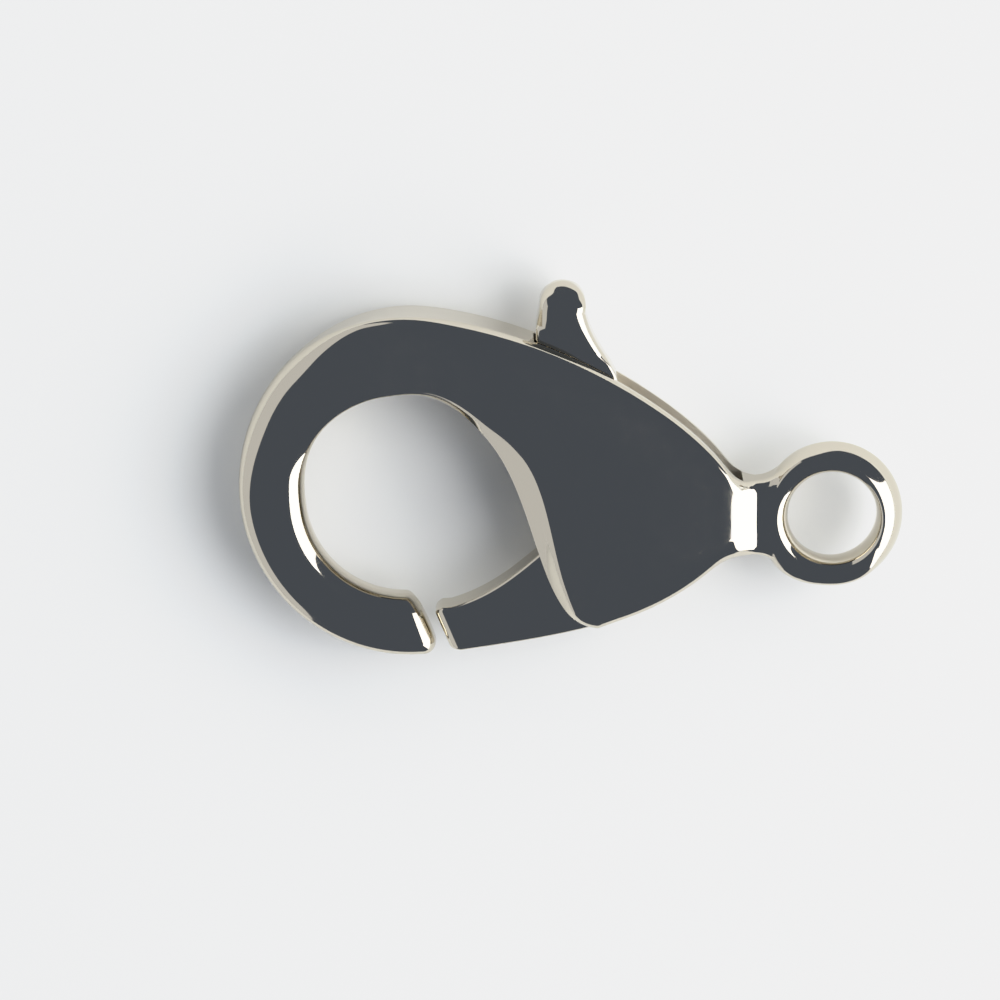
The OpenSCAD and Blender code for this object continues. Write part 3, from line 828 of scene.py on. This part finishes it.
class ClaspSizes(bpy.types.PropertyGroup):
    """Sizes of the clasp, as in its solids but for the edges"""

    hook_rise: length("Hook rise", "Height of the hook's middle above the ring eye", 0.635)
    hook_lean: length("Hook lean", "How far the outer ellipse leans to the body", 0.16)
    hook_band_side: length("Hook band, side", "Width of the hook's band opposite the body", 2.32)
    hook_band_top: length("Hook band, top", "Width of the hook's band above its bore", 3.1)
    hook_band_low: length("Hook band, low", "Width of the hook's band below its bore", 2.18)
    bore_rise: length("Bore rise", "How far the bore opens above its circle", 0.36)
    hook_t: length("Hook thickness", "Thickness of the hook", 1.7)
    hook_edge_out: length("Hook outer edge", "Rounding of the hook's outer edges", 0.45)
    hook_edge_top: length("Hook outer edge, top", "Rounding of the hook's outer edges at its top left", 0.75)
    hook_edge_in: length("Hook inner edge", "Rounding of the hook's inner edges", 0.7)
    tip_round: length("Hook tip edge", "Rounding of the hook's tip", 0.55)
    body_t: length("Body thickness", "Thickness of the body", 3.4)
    face_drop: length("Face drop", "How far the faces fall to the outline", 0.55)
    fall_share: FloatProperty(
        name="Fall share", description="Share of the half width that falls away", default=0.6, subtype="FACTOR"
    )
    body_edge: length("Body edge", "Rounding of the body's edges", 0.22)
    bevel_w: length("Bevel", "Width of the bevel on the mouth's edge", 0.7)
    bevel_slope: slope("Bevel slope", "Slope of the bevel", 38)
    bevel_slope_top: slope("Bevel slope, top", "Slope of the bevel where it starts", 41)
    web_t: length("Web", "Thickness of the web under the slot", 0.6)
    slot_end: length("Slot end", "Distance of the slot's end from the ring eye", 3.15)
    neck_w: length("Neck width", "Width of the neck at its waist", 2.42)
    neck_t: length("Neck thickness", "Thickness of the neck", 1.56)
    neck_edge: length("Neck edge", "Width of the rounding on the neck's upper edge", 0.5)
    neck_edge_depth: length("Neck edge depth", "Depth of the rounding on the neck's upper edge", 0.38)
    neck_edge_low: length("Neck edge, low", "Rounding of the neck's lower edge", 0.36)
    flare_in: length("Flare inset", "How far the neck's end sinks into the ring", 0.12)
    eye_band: length("Eye band", "Width of the ring eye's band", 0.93)
    eye_t: length("Eye thickness", "Thickness of the ring eye", 1.58)
    eye_flare_h: length("Eye flare depth", "Depth of the flare at the bore's mouths", 0.74)
    eye_flare: length("Eye flare", "Width of the flare at the bore's mouths", 0.18)
    lever_t: length("Lever thickness", "Thickness of the lever in the slot", 1.4)
    side_gap: length("Side gap", "Play between lever and cheek", 0.06)
    stop_gap: length("Stop gap", "Play between lever and stop", 0.08)
    stop_low: length("Stop foot", "Height of the stop's lower end", 4.7)
    tip_gap: length("Tip gap", "Gap between the hook's tip and the lever's", 0.38)
    hub_r: length("Hub radius", "Radius of the lever's hub", 1.25)
    lever_edge: length("Lever edge", "Rounding of the lever's edges", 0.12)
    arm_tip_edge: length("Arm tip edge", "Rounding of the arm's end", 0.34)
    tab_r: length("Tab radius", "Radius of the thumb tab's top", 0.8)
    tab_t: length("Tab thickness", "Thickness of the thumb tab", 1.9)
    tab_lean: length("Tab lean", "How far the tab leans to the hook", 1.65)
    tab_h: length("Tab height", "Height of the tab's middle above the ring eye", 7.52)
    head_edge_left: length("Tab edge, hook side", "Rounding of the tab on the hook's side", 0.34)
    head_edge_right: length("Tab edge, eye side", "Rounding of the tab on the eye's side", 0.4)
    tab_top_drop: length("Tab fall", "How far the tab's faces fall to its top edge", 0.72)
    spring_t: length("Spring thickness", "Thickness of the spring's leaf", 0.25)
    spring_w: length("Spring width", "Width of the spring's leaf", 1.1)


class ClaspFinish(bpy.types.PropertyGroup):
    """Colours of the clasp and its stage, as sRGB hex"""

    nickel: StringProperty(name="Nickel", description="Bright nickel plate", default="#D3CBBA")
    spring: StringProperty(name="Spring steel", description="Drawn spring steel", default="#9A9A98")
    pin: StringProperty(name="Pin steel", description="Ground pin steel", default="#B4B4B2")
    card: StringProperty(name="Card", description="Matt card under the clasp", default="#F5F6F5")
    room: StringProperty(name="Room", description="Dim room that the flat faces mirror", default="#525A69")


class ClaspStage(bpy.types.PropertyGroup):
    """Where the camera stands, where it looks and how much it takes in"""

    tilt: slope("Tilt", "Camera's tilt off the upright", 14)
    distance: length("Distance", "Camera's distance", 170)
    width: length("Width", "Width of the picture at the clasp", 35.0)
    aim_x: length("Aim X", "Middle of the picture from the ring eye, away from the hook", -11.62)
    aim_y: length("Aim Y", "Middle of the picture from the ring eye, to the tab", 0.469)


# Operators

# how much wider than its bore the eye is cut before the ring goes in, and play round the pin
EYE_ROOM, PIN_PLAY = 0.15, 0.01


class CLASP_OT_frame(bpy.types.Operator):
    """Builds the cast frame: hook, cheeks, neck and ring eye"""

    bl_idname = "clasp.frame"
    bl_label = "Cast frame"

    def execute(self, context):
        plan = ClaspPlan(context.scene.clasp_sizes)
        thick, slot_half = plan.g["body_t"], plan.slot_half
        pin_low, pin_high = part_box("pivot_pin")
        seat_r, seat_top = (pin_high.x - pin_low.x) / 2 / MM + PIN_PLAY, pin_high.z / MM + PIN_PLAY
        obj = add_object("clasp_frame_casting", mesh_from_loops("casting", frame_loops(plan)))
        combine(obj, prism("eye_opening", circle(128, EYE_R + EYE_ROOM), -thick / 2, thick / 2), "DIFFERENCE")
        combine(obj, ring_mesh(plan), "UNION")
        combine(obj, prism("slot", slot_outline(plan), -slot_half, slot_half), "DIFFERENCE")
        combine(obj, prism("pin_seat", circle(96, seat_r, plan.pivot), -thick, seat_top), "DIFFERENCE")
        smooth_shade(obj, 32)
        dress(obj, nickel_plate("nickel_plate_bright", context.scene.clasp_finish))
        obj.data.materials.append(plated_casting("nickel_plate_unpolished", context.scene.clasp_finish))
        # the slot's two side faces keep the unpolished finish
        for face in obj.data.polygons:
            height = abs(face.center.z) / MM
            face.material_index = int(0.5 < height < slot_half + 0.001 and abs(face.normal.z) > 0.99)
        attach(obj, "clasp_frame")
        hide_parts("frame")
        return {"FINISHED"}


class CLASP_OT_lever(bpy.types.Operator):
    """Builds the lever with its arm, stem and thumb tab"""

    bl_idname = "clasp.lever"
    bl_label = "Lever"

    def execute(self, context):
        plan = ClaspPlan(context.scene.clasp_sizes)
        obj = add_object("clasp_lever_casting", mesh_from_loops("lever_casting", lever_loops(plan)))
        smooth_shade(obj, 40)
        dress(obj, nickel_plate("nickel_plate_lever", context.scene.clasp_finish))
        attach(obj, "clasp_lever")
        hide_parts("lever")
        return {"FINISHED"}


class CLASP_OT_pin_and_spring(bpy.types.Operator):
    """Finishes the pivot pin and builds the return spring"""

    bl_idname = "clasp.pin_and_spring"
    bl_label = "Pin and spring"

    def execute(self, context):
        finish = context.scene.clasp_finish
        pin = add_object("clasp_pivot_pin", pin_mesh(*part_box("pivot_pin")))
        smooth_shade(pin, 25)
        dress(pin, drawn_steel("pin_steel_ground", finish.pin))
        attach(pin, "clasp_frame")
        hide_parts("pivot_pin")
        leaf = add_object("clasp_spring_leaf", leaf_mesh(ClaspPlan(context.scene.clasp_sizes)))
        smooth_shade(leaf, 40)
        dress(leaf, drawn_steel("spring_steel_drawn", finish.spring))
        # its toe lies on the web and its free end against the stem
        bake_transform(leaf)
        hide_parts("return_spring")
        return {"FINISHED"}


# Upright walls of light round the clasp. The metal mirrors the softbox on the right and the pale wall
# on the left; the key and the fills light only the white card that it lies on. So reflections and
# shadows are set apart.
WHITE, KEY_TINT, FILL_TINT = (1, 1, 1), (1, 1, 1.01), (1, 1, 0.97)
# name, azimuth of the middle, half width and the lowest and highest edge as tangents at the wall's
# middle, radiance, tint, and whether it is mirrored rather than lighting the card
LIGHT_WALLS = (
    ("softbox_right", -11.5, 0.61, 0.05, 2.25, 3.9, WHITE, True),
    ("key_right_low", -9, 0.555, 0.05, 0.78, 4.3, KEY_TINT, False),
    ("key_right_high", -9, 0.555, 0.78, 2.25, 3.6, KEY_TINT, False),
    ("card_left", 179, 1.8, -0.02, 2.3, 0.64, WHITE, True),
    ("fill_left", 179, 1.8, -0.02, 2.3, 0.2, FILL_TINT, False),
    ("fill_right_back", 33, 0.27, -0.02, 2.2, 3.3, FILL_TINT, False),
    ("fill_back", 77, 0.6, -0.02, 0.78, 2.0, FILL_TINT, False),
    ("fill_front", -72, 0.67, -0.02, 0.78, 1.4, FILL_TINT, False),
    ("fill_high", 110, 1.5, 0.8, 4.0, 0.4, FILL_TINT, False),
)
WALL_DISTANCE = 0.3
# point that the walls stand round, as a share of the hook's reach from the ring eye
TENT_MIDDLE = 0.75


def light_wall(name, azimuth, half_width, low, high, radiance, tint, mirrored):
    """One upright wall of light that faces the clasp."""
    data = bpy.data.lights.new(name, "AREA")
    data.shape = "RECTANGLE"
    data.size, data.size_y = 2 * half_width * WALL_DISTANCE, (high - low) * WALL_DISTANCE
    data.energy = radiance * math.pi * data.size * data.size_y
    data.color = tint
    lamp = bpy.data.objects.new(name, data)
    lamp.visible_glossy, lamp.visible_diffuse = mirrored, not mirrored
    a = math.radians(azimuth)
    middle = Vector((-TENT_MIDDLE * HOOK_REACH * MM, 0, CARD_Z))
    lamp.location = middle + Vector((math.cos(a), math.sin(a), (low + high) / 2)) * WALL_DISTANCE
    lamp.rotation_euler = Vector((math.cos(a), math.sin(a), 0)).to_track_quat("Z", "Y").to_euler()
    bpy.context.scene.collection.objects.link(lamp)


def develop(view):
    """The camera's tone curve: straight in the darks, with a shoulder that holds the white card just
    under full white and keeps full white for the highlights."""
    view.view_transform = "Standard"
    view.use_curve_mapping = True
    top = 4.0
    view.curve_mapping.white_level = (top, top, top)
    curve = view.curve_mapping.curves[3]
    # light in and light out
    points = ((0.6, 0.6), (0.8, 0.77), (1.0, 0.86), (1.3, 0.885), (1.7, 0.96), (2.3, 1.0))
    for x, y in points:
        curve.points.new(x / top, y)
    view.curve_mapping.update()


class CLASP_OT_stage(bpy.types.Operator):
    """Lays the clasp on a matt card inside a light tent, and sets the camera"""

    bl_idname = "clasp.stage"
    bl_label = "Stage"

    def execute(self, context):
        scene, stage, finish = context.scene, context.scene.clasp_stage, context.scene.clasp_finish
        mesh = bpy.data.meshes.new("card")
        half = 0.9
        corners = ((-half, -half), (half, -half), (half, half), (-half, half))
        mesh.from_pydata([(x, y, CARD_Z) for x, y in corners], [], [(0, 1, 2, 3)])
        card = add_object("card_floor", mesh)
        dress(card, matt_card("card_matt_white", finish.card))
        for wall in LIGHT_WALLS:
            light_wall(*wall)
        scene.world = bpy.data.worlds.new("dim_room")
        scene.world.use_nodes = True
        scene.world.node_tree.nodes["Background"].inputs["Color"].default_value = linear(finish.room)
        develop(scene.view_settings)
        cam = bpy.data.cameras.new("camera")
        cam.sensor_width = 36
        cam.lens = cam.sensor_width * stage.distance / stage.width
        cam.clip_start, cam.clip_end = 0.01, 5
        camera = bpy.data.objects.new("camera", cam)
        back = Vector((0, math.sin(stage.tilt), math.cos(stage.tilt)))
        camera.location = Vector((stage.aim_x, stage.aim_y, 0)) + back * stage.distance
        camera.rotation_euler = (-stage.tilt, 0, 0)
        scene.collection.objects.link(camera)
        scene.camera = camera
        return {"FINISHED"}


class CLASP_PT_panel(bpy.types.Panel):
    """Lists the clasp's pieces"""

    bl_label = "Lobster clasp"
    bl_idname = "CLASP_PT_panel"
    bl_space_type = "VIEW_3D"
    bl_region_type = "UI"
    bl_category = "Clasp"

    def draw(self, context):
        for operator in OPERATORS:
            self.layout.operator(operator.bl_idname)
        for group in (context.scene.clasp_sizes, context.scene.clasp_finish, context.scene.clasp_stage):
            box = self.layout.box()
            for key in group.__annotations__:
                box.prop(group, key)


OPERATORS = (CLASP_OT_frame, CLASP_OT_lever, CLASP_OT_pin_and_spring, CLASP_OT_stage)
CLASSES = (ClaspSizes, ClaspFinish, ClaspStage, *OPERATORS, CLASP_PT_panel)


def register():
    for c in CLASSES:
        bpy.utils.register_class(c)
    bpy.types.Scene.clasp_sizes = PointerProperty(type=ClaspSizes)
    bpy.types.Scene.clasp_finish = PointerProperty(type=ClaspFinish)
    bpy.types.Scene.clasp_stage = PointerProperty(type=ClaspStage)


def unregister():
    del bpy.types.Scene.clasp_stage, bpy.types.Scene.clasp_finish, bpy.types.Scene.clasp_sizes
    for c in reversed(CLASSES):
        bpy.utils.unregister_class(c)


def main():
    register()
    bpy.ops.clasp.frame()
    bpy.ops.clasp.lever()
    bpy.ops.clasp.pin_and_spring()
    bpy.ops.clasp.stage()


if __name__ == "__main__":
    main()
